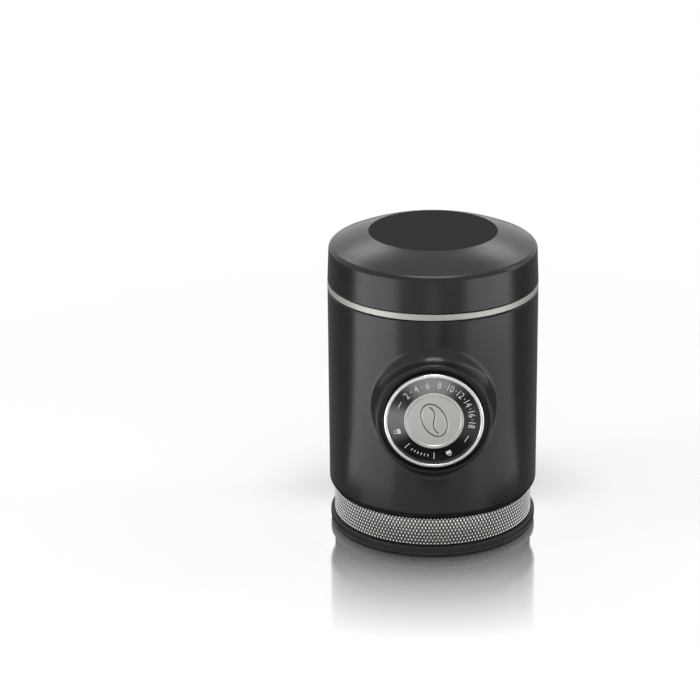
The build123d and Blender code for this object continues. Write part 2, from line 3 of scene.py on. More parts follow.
import bpy
import numpy as np
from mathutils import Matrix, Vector


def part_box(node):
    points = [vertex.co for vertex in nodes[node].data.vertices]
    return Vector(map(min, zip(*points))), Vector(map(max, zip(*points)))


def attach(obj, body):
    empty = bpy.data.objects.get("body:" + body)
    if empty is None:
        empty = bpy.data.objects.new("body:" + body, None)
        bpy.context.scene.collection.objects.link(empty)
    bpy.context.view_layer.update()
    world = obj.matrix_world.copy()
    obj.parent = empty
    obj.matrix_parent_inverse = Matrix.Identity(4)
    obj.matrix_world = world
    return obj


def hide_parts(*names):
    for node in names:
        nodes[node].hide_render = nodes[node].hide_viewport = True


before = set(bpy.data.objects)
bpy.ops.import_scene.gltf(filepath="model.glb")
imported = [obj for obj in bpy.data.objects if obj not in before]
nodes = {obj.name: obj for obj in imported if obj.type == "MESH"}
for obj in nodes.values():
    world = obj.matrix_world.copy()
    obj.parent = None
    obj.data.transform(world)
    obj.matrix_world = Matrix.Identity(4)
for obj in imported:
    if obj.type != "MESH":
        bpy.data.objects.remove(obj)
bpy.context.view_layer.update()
scene = bpy.context.scene

MM = 0.001

# ---- places taken from the frame, in millimetres
cap_low, cap_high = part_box("button_cap")
dial_low, dial_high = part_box("dial_ring")
band_low, band_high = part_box("portafilter")
cover_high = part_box("base_cover")[1]
pad_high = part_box("base_pad")[1]
lid_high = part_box("lid_shell")[1]
AXIS_Z = (cap_low.z + cap_high.z) / 2 / MM       # height of the button's axis
CAP_FRONT = cap_low.y / MM
CAP_BACK = cap_high.y / MM
CAP_R = cap_high.x / MM
DIAL_FRONT = dial_low.y / MM
DIAL_R = dial_high.x / MM
PAD_R = pad_high.x / MM
PAD_T = pad_high.z / MM
LID_TOP = lid_high.z / MM
BAND_R = band_high.x / MM
BAND_FOOT = band_low.z / MM


# ---- mesh helpers
def piece(name, verts, faces, material, body, smooth_deg=None, replaces=(), slot=None):
    """Mesh object from points in millimetres, riding on a CAD body."""
    mesh = bpy.data.meshes.new(name)
    mesh.from_pydata([tuple(c * MM for c in v) for v in verts], [], faces)
    mesh.validate()
    mesh.update()
    obj = bpy.data.objects.new(name, mesh)
    scene.collection.objects.link(obj)
    obj.data.materials.append(material)
    if smooth_deg is not None:
        mesh.shade_smooth()
        mesh.set_sharp_from_angle(angle=radians(smooth_deg))
    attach(obj, body)
    if replaces:
        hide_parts(*replaces)
    return obj


def lathe(outline, steps):
    """Closed solid turned about the upright axis. The outline runs round as (radius, height) corners."""
    verts, faces, rings = [], [], []
    for r, h in outline:
        if r < 1e-6:
            rings.append([len(verts)])
            verts.append((0, 0, h))
            continue
        rings.append(list(range(len(verts), len(verts) + steps)))
        for i in range(steps):
            a = 2 * pi * i / steps
            verts.append((r * cos(a), r * sin(a), h))
    for k, ring in enumerate(rings):
        other = rings[(k + 1) % len(rings)]
        if len(ring) == 1 and len(other) == 1:
            continue
        for i in range(steps):
            j = (i + 1) % steps
            if len(ring) == 1:
                faces.append((other[i], other[j], ring[0]))
            elif len(other) == 1:
                faces.append((other[0], ring[j], ring[i]))
            else:
                faces.append((other[i], other[j], ring[j], ring[i]))
    return verts, faces


def rounded(corners, steps=5):
    """Outline corners given as (r, h, fillet radius), with the fillets cut in."""
    out = []
    count = len(corners)
    for k, (r, h, rad) in enumerate(corners):
        p = np.array((r, h), float)
        if rad <= 0:
            out.append(tuple(p))
            continue
        before = np.array(corners[k - 1][:2], float) - p
        after = np.array(corners[(k + 1) % count][:2], float) - p
        before /= np.linalg.norm(before)
        after /= np.linalg.norm(after)
        half = np.arccos(np.clip(before @ after, -1, 1)) / 2
        reach = rad / np.tan(half)
        centre = p + (before + after) / np.linalg.norm(before + after) * rad / np.sin(half)
        a, b = p + before * reach - centre, p + after * reach - centre
        sweep = pi - 2 * half
        for s in np.linspace(0, 1, steps + 1):
            w0, w1 = np.sin((1 - s) * sweep) / np.sin(sweep), np.sin(s * sweep) / np.sin(sweep)
            out.append(tuple(centre + w0 * a + w1 * b))
    return out


# ---- materials
def new_material(name):
    material = bpy.data.materials.new(name)
    material.use_nodes = True
    material.node_tree.nodes.clear()
    return material, material.node_tree


class Graph:
    """A material's nodes, with the object's own coordinates at hand."""

    def __init__(self, name):
        self.material, self.tree = new_material(name)
        self.shader = self.add("ShaderNodeBsdfPrincipled")
        out = self.add("ShaderNodeOutputMaterial")
        self.link(self.shader.outputs["BSDF"], out.inputs["Surface"])
        self.place = self.add("ShaderNodeTexCoord").outputs["Object"]

    def add(self, kind, **settings):
        node = self.tree.nodes.new(kind)
        for key, value in settings.items():
            setattr(node, key, value)
        return node

    def link(self, a, b):
        self.tree.links.new(a, b)

    def set(self, metal=0.0, level=0.5):
        self.shader.inputs["Metallic"].default_value = metal
        self.shader.inputs["Specular IOR Level"].default_value = level

    def stretched(self, scales):
        mapping = self.add("ShaderNodeMapping", vector_type="POINT")
        mapping.inputs["Scale"].default_value = scales
        self.link(self.place, mapping.inputs["Vector"])
        return mapping.outputs["Vector"]

    def noise(self, scale, detail=2.0, scales=None):
        noise = self.add("ShaderNodeTexNoise")
        noise.inputs["Scale"].default_value = scale
        noise.inputs["Detail"].default_value = detail
        self.link(self.stretched(scales) if scales else self.place, noise.inputs["Vector"])
        return noise.outputs["Fac"]

    def spread(self, value, low, high, from_low=0.3, from_high=0.7):
        """Map a value to low..high."""
        node = self.add("ShaderNodeMapRange")
        node.inputs["From Min"].default_value = from_low
        node.inputs["From Max"].default_value = from_high
        node.inputs["To Min"].default_value = low
        node.inputs["To Max"].default_value = high
        self.link(value, node.inputs["Value"])
        return node.outputs["Result"]

    def colour_between(self, value, dark, light):
        ramp = self.add("ShaderNodeValToRGB")
        ramp.color_ramp.elements[0].position = 0.3
        ramp.color_ramp.elements[1].position = 0.7
        ramp.color_ramp.elements[0].color = (*dark, 1)
        ramp.color_ramp.elements[1].color = (*light, 1)
        self.link(value, ramp.inputs["Fac"])
        self.link(ramp.outputs["Color"], self.shader.inputs["Base Color"])

    def bump(self, value, depth_mm):
        bump = self.add("ShaderNodeBump")
        bump.inputs["Strength"].default_value = 1.0
        bump.inputs["Distance"].default_value = depth_mm * MM
        self.link(value, bump.inputs["Height"])
        self.link(bump.outputs["Normal"], self.shader.inputs["Normal"])


def scaled(colour, k):
    return tuple(c * k for c in colour)


CLOUD = 60               # noise per metre in a colour
PATCHES = 220            # noise per metre in a roughness


def plain(name, colour, rough, level=0.5, metal=0.0, grain=900, vary=0.12, grain_depth=0.004,
          rough_vary=0.05, scales=None):
    """Moulded, painted, blasted or brushed surface: cloudy colour, uneven roughness and a fine grain."""
    g = Graph(name)
    g.set(metal, level)
    g.colour_between(g.noise(CLOUD, 3), scaled(colour, 1 - vary), scaled(colour, 1 + vary))
    patchy = g.noise(PATCHES, 3, scales)
    g.link(g.spread(patchy, rough - rough_vary, rough + rough_vary), g.shader.inputs["Roughness"])
    g.bump(g.noise(grain, 2, scales), grain_depth)
    return g.material


BLACK = (0.0115, 0.0115, 0.0124)
CAP_METAL = (0.455, 0.452, 0.432)
# knurl colours: painted shade in the valleys, painted highlight on the crests
VALLEY_SHADED_METAL = (0.03, 0.03, 0.028)
CREST_HIGHLIGHT_METAL = (0.84, 0.835, 0.81)
BRUSH = (0.04, 0.04, 9.0)    # stretches the grain round the axis
# the lid disc's colour as a share of the paint's: painted shade
DISC_SHADE = 0.1
DISC_ROUGH = 0.95
DISC_EDGE = 0.03         # the disc fades out from this far below the lid's top to twice as far

casing = plain("satin_black_paint", BLACK, 0.24, level=0.30,
               grain=4200, vary=0.08, grain_depth=0.0015, rough_vary=0.02)
foot_paint = plain("matt_black_moulding", scaled(BLACK, 2.1), 0.5, level=0.3,
                   grain=2600, vary=0.1, grain_depth=0.003)
inner_black = plain("inner_black_moulding", (0.016, 0.016, 0.017), 0.5, level=0.4, grain=1800)
tank_plastic = plain("tank_moulding", (0.030, 0.030, 0.031), 0.42, grain=1600)
warm_metal = plain("warm_anodised_ring", (0.40, 0.395, 0.375), 0.52, metal=0.6,
                   grain=500, vary=0.05, grain_depth=0.002, scales=BRUSH)
steel = plain("stainless_steel", (0.56, 0.55, 0.53), 0.28, metal=1.0, vary=0.06, grain_depth=0.002)
drawn_steel = plain("drawn_spring_steel", (0.42, 0.42, 0.41), 0.3, metal=1.0,
                    grain=1200, vary=0.1, grain_depth=0.002)
chrome = plain("polished_bezel", (0.62, 0.62, 0.62), 0.18, metal=1.0,
               grain=700, vary=0.02, grain_depth=0.0004, rough_vary=0.02)
cap_metal = plain("blasted_cap", CAP_METAL, 0.40, metal=1.0,
                  grain=5200, vary=0.04, grain_depth=0.006, rough_vary=0.03)
dial_gloss = plain("gloss_black_dial", (0.0012, 0.0012, 0.0013), 0.12, level=1.0,
                   grain=1500, vary=0.1, grain_depth=0.0004, rough_vary=0.02)
rubber = plain("black_silicone", (0.018, 0.018, 0.019), 0.68, level=0.35,
               grain=1400, vary=0.15, grain_depth=0.008)
clear_grey = plain("grey_silicone", (0.16, 0.16, 0.16), 0.6, level=0.4,
                   grain=1400, vary=0.08, grain_depth=0.006)
white_plastic = plain("white_bush", (0.72, 0.71, 0.68), 0.42, grain=1500, vary=0.03)
mark_paint = plain("pale_marks", (0.80, 0.80, 0.79), 0.45, level=0.4,
                   grain=3000, vary=0.06, grain_depth=0.001)


def lid_finish():
    """Satin paint, with a dead matt disc on the lid's flat top, its colour darkened as painted shade."""
    g = Graph("satin_black_lid")
    g.set(level=0.30)
    split = g.add("ShaderNodeSeparateXYZ")
    g.link(g.place, split.inputs["Vector"])
    disc = g.spread(split.outputs["Z"], 0, 1, (LID_TOP - 2 * DISC_EDGE) * MM, (LID_TOP - DISC_EDGE) * MM)
    # painted shade: the disc is coloured darker than the paint
    g.colour_between(disc, BLACK, scaled(BLACK, DISC_SHADE))
    rough = g.add("ShaderNodeMath", operation="MAXIMUM")
    g.link(g.spread(g.noise(PATCHES, 3), 0.24, 0.28), rough.inputs[0])
    g.link(g.spread(disc, 0.0, DISC_ROUGH, 0, 1), rough.inputs[1])
    g.link(rough.outputs[0], g.shader.inputs["Roughness"])
    g.bump(g.noise(4200, 2), 0.0015)
    return g.material


lid_paint = lid_finish()


def knurl_metal():
    """Machined metal with painted shade darkening its valleys and a painted highlight brightening its crests.
    """
    g = Graph("knurled_band")
    g.set(metal=1.0)
    split = g.add("ShaderNodeSeparateXYZ")
    g.link(g.place, split.inputs["Vector"])
    flat = g.add("ShaderNodeCombineXYZ")
    g.link(split.outputs["X"], flat.inputs["X"])
    g.link(split.outputs["Y"], flat.inputs["Y"])
    radius = g.add("ShaderNodeVectorMath", operation="LENGTH")
    g.link(flat.outputs["Vector"], radius.inputs[0])
    height = g.spread(radius.outputs["Value"], 0, 1, KNURL_VALLEY_R * MM, KNURL_CREST_R * MM)
    # painted shade in the valleys and painted highlight on the crests, by distance from the axis
    ramp = g.add("ShaderNodeValToRGB")
    low, high = ramp.color_ramp.elements
    low.position, high.position = 0.15, 0.75
    low.color, high.color = (*VALLEY_SHADED_METAL, 1), (*CREST_HIGHLIGHT_METAL, 1)
    g.link(height, ramp.inputs["Fac"])
    g.link(ramp.outputs["Color"], g.shader.inputs["Base Color"])
    g.link(g.spread(g.noise(2500, 2), 0.16, 0.28), g.shader.inputs["Roughness"])
    g.bump(g.noise(5000, 1), 0.002)
    return g.material


# ---- knurled band
KNURL_COUNT = 177        # crests round the band in one row
KNURL_ROWS = 9
KNURL_VALLEY_R = BAND_R + 0.02
KNURL_CREST_R = BAND_R + 0.44
KNURL_IN_R = BAND_R - 0.50
KNURL_LOW = BAND_FOOT + 0.16
KNURL_HIGH = KNURL_LOW + 9.32
CREST_FLAT = 0.36        # crest's flat, as a share of the crest's half width


def knurled_band():
    """Ring of flat-topped diamond pyramids, rows staggered by half a pitch, closed by a plain inside wall."""
    verts, index = [], {}
    half = pi / KNURL_COUNT
    rise = (KNURL_HIGH - KNURL_LOW) / (KNURL_ROWS - 1)

    def point(i, j, r):
        key = (round(i % (2 * KNURL_COUNT), 3), round(j, 3), round(r, 3))
        if key not in index:
            index[key] = len(verts)
            a = i * half
            verts.append((r * cos(a), r * sin(a), KNURL_LOW + j * rise))
        return index[key]

    faces = []
    f = CREST_FLAT
    for j in range(KNURL_ROWS):
        for i in range(j % 2, 2 * KNURL_COUNT, 2):
            west, east = point(i - 1, j, KNURL_VALLEY_R), point(i + 1, j, KNURL_VALLEY_R)
            w, e = point(i - f, j, KNURL_CREST_R), point(i + f, j, KNURL_CREST_R)
            if j < KNURL_ROWS - 1:
                north, n = point(i, j + 1, KNURL_VALLEY_R), point(i, j + f, KNURL_CREST_R)
                faces += [(east, north, n, e), (north, west, w, n)]
            if j > 0:
                south, s = point(i, j - 1, KNURL_VALLEY_R), point(i, j - f, KNURL_CREST_R)
                faces += [(west, south, s, w), (south, east, e, s)]
            if j == 0:
                faces.append((w, e, n))
            elif j == KNURL_ROWS - 1:
                faces.append((w, s, e))
            else:
                faces.append((w, s, e, n))
    for j in (0, KNURL_ROWS - 1):
        for i in range(j % 2, 2 * KNURL_COUNT, 2):
            stops = [(i - 1, KNURL_VALLEY_R), (i - f, KNURL_CREST_R)]
            stops += [(i + f, KNURL_CREST_R), (i + 1, KNURL_VALLEY_R)]
            for (i0, r0), (i1, r1) in zip(stops, stops[1:]):
                inside = (point(i0, j, KNURL_IN_R), point(i1, j, KNURL_IN_R))
                face = (point(i0, j, r0), *inside, point(i1, j, r1))
                faces.append(face if j == 0 else face[::-1])
    inner = sorted((key, at) for key, at in index.items() if key[2] == round(KNURL_IN_R, 3))
    ends = [[pair for pair in inner if pair[0][1] == j] for j in (0, KNURL_ROWS - 1)]
    count = len(ends[0])
    for k in range(count):
        n = (k + 1) % count
        faces.append((ends[0][k][1], ends[1][k][1], ends[1][n][1], ends[0][n][1]))
    return verts, faces


piece("knurled_band", *knurled_band(), knurl_metal(), "portafilter", slot="knurled_metal")

# ---- button cap with a raised rim and a plain coffee bean pressed into it
RIM_W = 0.85
DISH = 0.36
RIM_ROUND = 0.28
DISH_FALL = 0.38         # width over which the rim falls to the dished face
DISH_LEAD = 0.02         # the fall begins this far outside the dish's edge
FACE_END = 0.45          # the face's rings of points end this far inside the dish's edge
RIM_START = 0.40         # and the rim's begin here
BEAN_HALF = (3.9, 6.0)   # half width and half height of the bean's outline
BEAN_TILT = 24.0
BEAN_GROOVE_W = 0.34
BEAN_GROOVE_D = 0.22
BEAN_REACH = 7.5         # no groove comes further out than this
CREASE_HALF = (0.30, 0.80)   # half width and half height of the bean's crease, as shares of the outline's
CREASE_TURN = 1.05       # half turns that its wave makes on each side of the middle, per half height
GROOVE_FLAT = 0.3        # half width of a groove's flat floor, as a share of BEAN_GROOVE_W
GROOVE_SHADE = 0.28      # painted shade in the grooves: their colour as a share of the cap's
GROOVE_FADE = (0.25, 0.9)    # shares of a groove's depth at which its shade begins and is full
FACE_RINGS = 86
RIM_RINGS = 20
ROUND_STEPS = 6


def bean_lines():
    """Points every few hundredths of a millimetre along the bean's outline and its crease."""
    a, b = BEAN_HALF
    t = np.linspace(0, 2 * pi, 900, endpoint=False)
    outline = np.stack([a * np.cos(t), b * np.sin(t)], 1)
    swing, reach = CREASE_HALF
    s = np.linspace(-reach, reach, 300)
    crease = np.stack([swing * a * np.sin(s * pi * CREASE_TURN), b * s], 1)
    tilt = radians(BEAN_TILT)
    turn = np.array([[cos(tilt), -sin(tilt)], [sin(tilt), cos(tilt)]])
    return np.concatenate([outline, crease]) @ turn.T


def smooth_step(x):
    x = np.clip(x, 0, 1)
    return x * x * (3 - 2 * x)


def button_cap():
    steps = 288
    dish_r = CAP_R - RIM_W
    face_radii = np.linspace(0.1, dish_r - FACE_END, FACE_RINGS)
    rim_radii = np.linspace(dish_r - RIM_START, CAP_R - RIM_ROUND, RIM_RINGS)
    lines = bean_lines()
    verts, faces = [(0.0, CAP_FRONT + DISH, AXIS_Z)], []
    angles = np.arange(steps) * 2 * pi / steps
    for r in [*face_radii, *rim_radii]:
        x, z = r * np.cos(angles), r * np.sin(angles)
        y = np.full(steps, CAP_FRONT + DISH * smooth_step((dish_r + DISH_LEAD - r) / DISH_FALL))
        if r < BEAN_REACH:
            gap = np.sqrt(((x[:, None] - lines[:, 0]) ** 2 + (z[:, None] - lines[:, 1]) ** 2).min(1))
            y = y + BEAN_GROOVE_D * smooth_step(1 + GROOVE_FLAT - gap / BEAN_GROOVE_W)
        verts += [(x[i], y[i], AXIS_Z + z[i]) for i in range(steps)]
    for s in range(1, ROUND_STEPS + 1):
        a = s * pi / 2 / ROUND_STEPS
        r = CAP_R - RIM_ROUND * (1 - sin(a))
        y = CAP_FRONT + RIM_ROUND * (1 - cos(a))
        verts += [(r * cos(t), y, AXIS_Z + r * sin(t)) for t in angles]
    verts += [(CAP_R * cos(t), CAP_BACK, AXIS_Z + CAP_R * sin(t)) for t in angles]
    verts.append((0.0, CAP_BACK, AXIS_Z))
    rings = (len(verts) - 2) // steps
    last = len(verts) - 1
    for i in range(steps):
        j = (i + 1) % steps
        faces.append((0, 1 + i, 1 + j))
        for k in range(rings - 1):
            a, b = 1 + k * steps, 1 + (k + 1) * steps
            faces.append((a + i, b + i, b + j, a + j))
        a = 1 + (rings - 1) * steps
        faces.append((a + i, last, a + j))
    return verts, faces


def pressed_metal():
    """Blasted metal with painted shade darkening it down in the bean's grooves."""
    g = Graph("pressed_cap")
    g.set(metal=1.0)
    split = g.add("ShaderNodeSeparateXYZ")
    g.link(g.place, split.inputs["Vector"])
    shallow, deepest = (CAP_FRONT + DISH + share * BEAN_GROOVE_D for share in GROOVE_FADE)
    depth = g.spread(split.outputs["Y"], 0, 1, shallow * MM, deepest * MM)
    # painted shade: the colour falls with the groove's depth
    ramp = g.add("ShaderNodeValToRGB")
    flat, deep = ramp.color_ramp.elements
    flat.color, deep.color = (*CAP_METAL, 1), (*scaled(CAP_METAL, GROOVE_SHADE), 1)
    g.link(depth, ramp.inputs["Fac"])
    g.link(ramp.outputs["Color"], g.shader.inputs["Base Color"])
    g.link(g.spread(g.noise(PATCHES, 3), 0.37, 0.43), g.shader.inputs["Roughness"])
    g.bump(g.noise(5200, 2), 0.006)
    return g.material


piece("button_cap_pressed", *button_cap(), pressed_metal(), "dial", smooth_deg=35,
      replaces=["button_cap"], slot="cap_metal")

# ---- marks on the dial ring
# Angles run clockwise from the top. Each bar's size is its half width and half height.
MARK_R = 12.5            # middle of the band of marks
MARK_PROUD = 0.03
MARK_DEEP = 0.03
NUMBERS = range(2, 20, 2)
NUMBER_SPAN = (-46.0, 98.0)
DIGIT_H = 2.25
DIGIT_WIDE = 0.82
DOT = (0.08, 0.32)
LONG_TICKS_AT = (180.0, 225.0)
LONG_TICK = (0.12, 1.15)
SHORT_TICKS = 6
SHORT_TICKS_FROM = 189.4
SHORT_TICKS_STEP = 5.2
SHORT_TICK = (0.15, 0.42)
DASHES_AT = (295.5, 121.5)
DASH = (1.25, 0.12)
LOCKED_AT = 157.0
UNLOCKED_AT = 252.0
LOCKED_IN = 0.25         # padlocks' middles inside the band's
UNLOCKED_IN = 0.35
PADLOCK_SIZE = 1.22
PADLOCK_WIDE = 1.15
OPEN_BY = 0.30
DIAL_IN_R = CAP_R + 0.05
DIAL_FALL = 0.4          # dial ring's outer edge behind its inner one


def dial_face(r):
    return DIAL_FRONT + DIAL_FALL * (r - DIAL_IN_R) / (DIAL_R - DIAL_IN_R)


def flat_outline(points):
    """Flat shape, as points and faces, from one closed outline given counter-clockwise as (across, up)."""
    return list(points), [tuple(range(len(points)))]


def bar(x0, x1, y0, y1):
    return flat_outline([(x0, y0), (x1, y0), (x1, y1), (x0, y1)])


def centred_bar(half_w, half_h):
    return bar(-half_w, half_w, -half_h, half_h)


def arc_band(r_in, r_out, a0, a1, steps, at=(0.0, 0.0)):
    """Part of a flat ring, as quads."""
    pts, quads = [], []
    for s in range(steps + 1):
        a = radians(a0 + (a1 - a0) * s / steps)
        pts += [(at[0] + r * cos(a), at[1] + r * sin(a)) for r in (r_in, r_out)]
    for s in range(steps):
        k = 2 * s
        quads.append((k, k + 1, k + 3, k + 2))
    return pts, quads


def joined(shapes):
    pts, polys = [], []
    for p, f in shapes:
        base = len(pts)
        pts += list(p)
        polys += [tuple(base + i for i in poly) for poly in f]
    return pts, polys


def padlock(open_by):
    """Generic padlock: a rounded body under a shackle that is lifted by open_by, one leg free when open."""
    half_w, half_h, corner = 0.62, 0.50, 0.16
    neck, shackle_r, wire, tail = 0.12, 0.46, 0.17, 0.22
    body = []
    for side_x, side_y, a0 in ((1, -1, -90), (1, 1, 0), (-1, 1, 90), (-1, -1, 180)):
        middle_x, middle_y = side_x * (half_w - corner), side_y * (half_h - corner)
        for s in range(4):
            a = radians(a0 + s * 30)
            body.append((middle_x + corner * cos(a), middle_y + corner * sin(a)))
    top = half_h + neck + open_by
    free_leg = half_h if open_by <= 0 else top - tail
    shackle = [arc_band(shackle_r - wire, shackle_r, 0, 180, 12, (0, top)),
               bar(-shackle_r, -shackle_r + wire, half_h, top),
               bar(shackle_r - wire, shackle_r, free_leg, top)]
    pts, polys = joined([flat_outline(body)] + shackle)
    return [(x * PADLOCK_SIZE, y * PADLOCK_SIZE) for x, y in pts], polys


def text_shape(text, height):
    """Flat outline mesh of a number in Blender's own font, centred, given as (across, up)."""
    curve = bpy.data.curves.new("number", "FONT")
    curve.body = text
    curve.align_x = "CENTER"
    curve.align_y = "CENTER"
    curve.resolution_u = 4
    obj = bpy.data.objects.new("number", curve)
    scene.collection.objects.link(obj)
    graph = bpy.context.evaluated_depsgraph_get()
    mesh = bpy.data.meshes.new_from_object(obj.evaluated_get(graph))
    pts = np.array([v.co[:2] for v in mesh.vertices])
    polys = [tuple(p.vertices) for p in mesh.polygons]
    bpy.data.objects.remove(obj)
    bpy.data.curves.remove(curve)
    bpy.data.meshes.remove(mesh)
    low, high = pts.min(0), pts.max(0)
    pts = (pts - (low + high) / 2) * height / (high[1] - low[1])
    return [tuple(p) for p in pts], polys


def prism_on_dial(shape, clock, r_at, width=1.0):
    """Prism of a flat shape on the dial ring's face, its top outwards, at a clock angle in degrees."""
    pts, polys = shape
    a = radians(clock)
    out, across = np.array((sin(a), cos(a))), np.array((cos(a), -sin(a)))
    n = len(pts)
    verts = []
    for layer in (-MARK_PROUD, MARK_DEEP):
        for x, y in pts:
            px, pz = out * (r_at + y) + across * x * width
            r = (px * px + pz * pz) ** 0.5
            verts.append((px, dial_face(r) + layer, AXIS_Z + pz))
    faces, edges = [], {}
    for poly in polys:
        area = sum(pts[p][0] * pts[q][1] - pts[q][0] * pts[p][1] for p, q in zip(poly, poly[1:] + poly[:1]))
        loop = poly if area > 0 else poly[::-1]
        faces.append(tuple(loop))
        faces.append(tuple(i + n for i in loop[::-1]))
        for p, q in zip(loop, loop[1:] + loop[:1]):
            edges[(p, q)] = True
    for p, q in edges:
        if (q, p) not in edges:
            faces.append((q, p, p + n, q + n))
    return verts, faces


def dial_marks():
    shapes = []
    first, last = NUMBER_SPAN
    step = (last - first) / (len(NUMBERS) - 1)
    for k, number in enumerate(NUMBERS):
        shapes.append(prism_on_dial(text_shape(str(number), DIGIT_H), first + k * step, MARK_R, DIGIT_WIDE))
    for k in range(len(NUMBERS) - 1):
        shapes.append(prism_on_dial(centred_bar(*DOT), first + (k + 0.5) * step, MARK_R))
    for clock in LONG_TICKS_AT:
        shapes.append(prism_on_dial(centred_bar(*LONG_TICK), clock, MARK_R))
    for k in range(SHORT_TICKS):
        clock = SHORT_TICKS_FROM + SHORT_TICKS_STEP * k
        shapes.append(prism_on_dial(centred_bar(*SHORT_TICK), clock, MARK_R))
    for clock in DASHES_AT:
        shapes.append(prism_on_dial(centred_bar(*DASH), clock, MARK_R))
    shapes.append(prism_on_dial(padlock(0.0), LOCKED_AT, MARK_R - LOCKED_IN, PADLOCK_WIDE))
    shapes.append(prism_on_dial(padlock(OPEN_BY), UNLOCKED_AT, MARK_R - UNLOCKED_IN, PADLOCK_WIDE))
    return joined(shapes)


piece("dial_marks", *dial_marks(), mark_paint, "dial", slot="white_plastic")

# ---- foot pad with ribs
PAD_RIBS = 5
RIB_DEPTH = 0.35
RIBS_FROM = 2.0          # first rib's inner edge
RIBS_SPARE = 1.0         # between the last rib's gap and the pad's edge
RIB_SLANT = 0.25
RIM_RIB = 2.4            # width of the rib round the pad's edge
RIM_SLANT = 0.3


def foot_pad():
    corners = [(0, RIB_DEPTH, 0)]
    step = (PAD_R - RIBS_FROM - RIBS_SPARE) / (2 * PAD_RIBS)
    for k in range(PAD_RIBS):
        r0 = RIBS_FROM + 2 * k * step
        r1 = r0 + step
        corners += [(r0, RIB_DEPTH, 0), (r0 + RIB_SLANT, 0.0, 0.1)]
        corners += [(r1 - RIB_SLANT, 0.0, 0.1), (r1, RIB_DEPTH, 0)]
    corners += [(PAD_R - RIM_RIB, RIB_DEPTH, 0), (PAD_R - RIM_RIB + RIM_SLANT, 0.0, 0.1), (PAD_R, 0.0, 0.25)]
    corners += [(PAD_R, PAD_T, 0), (0, PAD_T, 0)]
    return lathe(rounded(corners, 3), 160)


piece("foot_pad_ribbed", *foot_pad(), rubber, "foot_cover", smooth_deg=40,
      replaces=["base_pad"], slot="silicone")

# ---- materials on the CAD nodes
finishes = {
    casing: ["body_shell"],
    lid_paint: ["lid_shell"],
    foot_paint: ["base_cover"],
    inner_black: ["lid_liner", "group_head", "pump_frame", "button_cup", "guide_sleeve", "cylinder_end_cap",
                  "inlet_valve_seat", "outlet_valve_seat"],
    tank_plastic: ["tank"],
    warm_metal: ["tank_ring"],
    steel: ["portafilter", "basket", "shower_screen", "screen_screw", "group_screws", "sleeve_screws",
            "tank_screws", "plunger", "plunger_clip", "pump_cylinder", "inlet_ball", "outlet_ball",
            "strainer"],
    drawn_steel: ["return_spring", "inlet_spring", "outlet_spring"],
    chrome: ["button_bezel"],
    dial_gloss: ["dial_ring"],
    rubber: ["base_oring", "ring_gasket", "plunger_orings", "inlet_oring", "outlet_oring", "end_cap_oring",
             "base_pad"],
    clear_grey: ["group_gasket", "lid_seal"],
    white_plastic: ["rod_bush"],
    cap_metal: ["button_cap"],
}
for material, names in finishes.items():
    for name in names:
        nodes[name].data.materials.clear()
        nodes[name].data.materials.append(material)
bare = sorted(set(nodes) - {name for names in finishes.values() for name in names})
if bare:
    raise ValueError(f"nodes without a finish: {bare}")

# ---- floor
MIRROR_NEAR = 0.036      # out to here the floor's mirror image is strongest, measured from the origin
MIRROR_FAR = 0.096       # from here on it has gone
MIRROR_MOST = 0.88
MIRROR_ROUGH = 0.08
MIRROR_BACK = 0.035      # the floor behind the object mirrors nothing from here on
FLOOR_R = 6.0
FLOOR_Z = -0.00002
FLOOR_WHITE = 0.93
GLOW_FROM = 0.12         # the floor turns into even white from here
GLOW_TO = 0.30


def camera_or_reflection(g):
    """1 for rays from the camera, or that a gloss or glass surface sends on."""
    path = g.nodes.new("ShaderNodeLightPath")
    total = path.outputs["Is Camera Ray"]
    for name in ("Is Glossy Ray", "Is Transmission Ray"):
        either = g.nodes.new("ShaderNodeMath")
        either.operation = "MAXIMUM"
        g.links.new(total, either.inputs[0])
        g.links.new(path.outputs[name], either.inputs[1])
        total = either.outputs[0]
    return total


def mapped(g, source, low, high, value_low, value_high, kind="LINEAR"):
    """Map a socket's low..high to value_low..value_high."""
    node = g.nodes.new("ShaderNodeMapRange")
    node.interpolation_type = kind
    limits = {"From Min": low, "From Max": high, "To Min": value_low, "To Max": value_high}
    for name, limit in limits.items():
        node.inputs[name].default_value = limit
    g.links.new(source, node.inputs["Value"])
    return node.outputs["Result"]


def distance(g, place):
    """Distance from the origin, in metres."""
    node = g.nodes.new("ShaderNodeVectorMath")
    node.operation = "LENGTH"
    g.links.new(place, node.inputs[0])
    return node.outputs["Value"]


def mixed(g, share, first, second):
    node = g.nodes.new("ShaderNodeMixShader")
    g.links.new(share, node.inputs["Fac"])
    g.links.new(first, node.inputs[1])
    g.links.new(second, node.inputs[2])
    return node.outputs[0]


